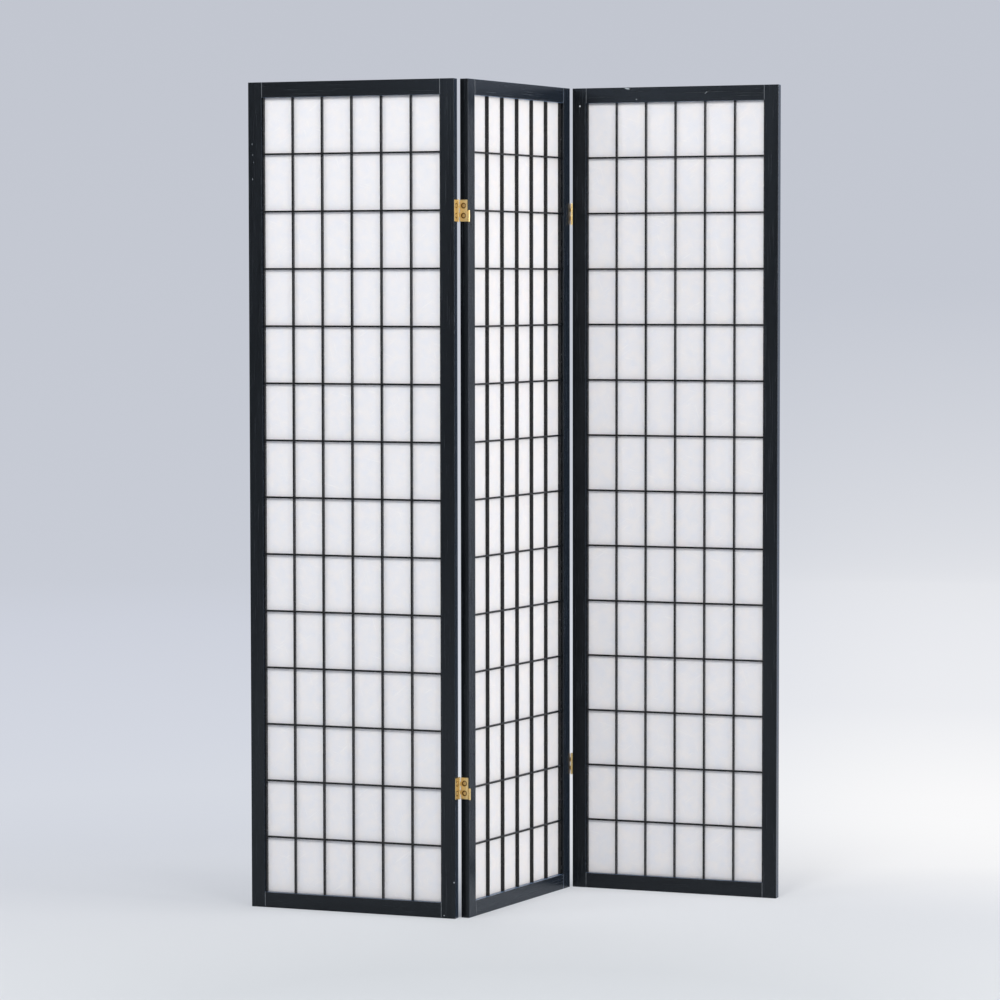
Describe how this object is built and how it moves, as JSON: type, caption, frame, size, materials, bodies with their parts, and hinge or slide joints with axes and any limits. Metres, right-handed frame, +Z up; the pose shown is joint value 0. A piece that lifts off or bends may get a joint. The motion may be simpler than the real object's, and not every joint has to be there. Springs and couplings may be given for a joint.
{
  "type": "shoji folding screen",
  "caption": "Free-standing hinged room divider: black wooden frames with a slat lattice over white paper, joined by double-acting brass hinges.",
  "frame": {"origin": "centre of the footprint of the half-folded screen, on the floor", "axes": "+Z up, +X to the right as seen from the lattice side of the left panel, +Y away from that viewer"},
  "size_m": [1.1528, 0.4546, 1.784],
  "materials": {
    "frame_wood": "satin black paint over close-grained softwood",
    "slat_wood": "satin black paint over thin softwood slats",
    "shoji_paper": "matt white fibre-reinforced paper, slightly translucent",
    "hinge_brass": "bright brass plate, lightly brushed",
    "screw_brass": "polished brass",
    "pin_brass": "drawn brass wire, lightly worn"
  },
  "bodies": {
    "middle_panel": {"middle_panel_left_stile": "frame_wood", "middle_panel_right_stile": "frame_wood", "middle_panel_top_rail": "frame_wood", "middle_panel_bottom_rail": "frame_wood", "middle_panel_left_edge_slat": "slat_wood", "middle_panel_right_edge_slat": "slat_wood", "middle_panel_upright_slats": "slat_wood", "middle_panel_cross_slats": "slat_wood", "middle_panel_paper": "shoji_paper", "middle_panel_hinge_screws": "screw_brass", "left_upper_hinge_middle_leaf": "hinge_brass", "left_lower_hinge_middle_leaf": "hinge_brass", "left_upper_hinge_swing_pin": "pin_brass", "left_lower_hinge_swing_pin": "pin_brass", "right_upper_hinge_middle_leaf": "hinge_brass", "right_lower_hinge_middle_leaf": "hinge_brass", "right_upper_hinge_swing_pin": "pin_brass", "right_lower_hinge_swing_pin": "pin_brass"},
    "left_hinge_links": {"left_upper_hinge_link": "hinge_brass", "left_lower_hinge_link": "hinge_brass"},
    "left_panel": {"left_panel_left_stile": "frame_wood", "left_panel_right_stile": "frame_wood", "left_panel_top_rail": "frame_wood", "left_panel_bottom_rail": "frame_wood", "left_panel_left_edge_slat": "slat_wood", "left_panel_right_edge_slat": "slat_wood", "left_panel_upright_slats": "slat_wood", "left_panel_cross_slats": "slat_wood", "left_panel_paper": "shoji_paper", "left_panel_hinge_screws": "screw_brass", "left_upper_hinge_side_leaf": "hinge_brass", "left_lower_hinge_side_leaf": "hinge_brass", "left_upper_hinge_fold_pin": "pin_brass", "left_lower_hinge_fold_pin": "pin_brass"},
    "right_hinge_links": {"right_upper_hinge_link": "hinge_brass", "right_lower_hinge_link": "hinge_brass"},
    "right_panel": {"right_panel_left_stile": "frame_wood", "right_panel_right_stile": "frame_wood", "right_panel_top_rail": "frame_wood", "right_panel_bottom_rail": "frame_wood", "right_panel_left_edge_slat": "slat_wood", "right_panel_right_edge_slat": "slat_wood", "right_panel_upright_slats": "slat_wood", "right_panel_cross_slats": "slat_wood", "right_panel_paper": "shoji_paper", "right_panel_hinge_screws": "screw_brass", "right_upper_hinge_side_leaf": "hinge_brass", "right_lower_hinge_side_leaf": "hinge_brass", "right_upper_hinge_fold_pin": "pin_brass", "right_lower_hinge_fold_pin": "pin_brass"}
  },
  "joints": [
    {"name": "left_swing", "type": "hinge", "parent": "middle_panel", "child": "left_hinge_links", "pos_m": [-0.10017, -0.21772, 0.892], "axis": [0, 0, 1], "range_deg": [0, 90]},
    {"name": "left_fold", "type": "hinge", "parent": "left_hinge_links", "child": "left_panel", "pos_m": [-0.12231, -0.20784, 0.892], "axis": [0, 0, 1], "range_deg": [-97, 83]},
    {"name": "right_swing", "type": "hinge", "parent": "middle_panel", "child": "right_hinge_links", "pos_m": [0.10017, 0.21772, 0.892], "axis": [0, 0, 1], "range_deg": [0, 90]},
    {"name": "right_fold", "type": "hinge", "parent": "right_hinge_links", "child": "right_panel", "pos_m": [0.12231, 0.20784, 0.892], "axis": [0, 0, 1], "range_deg": [-97, 83]}
  ]
}
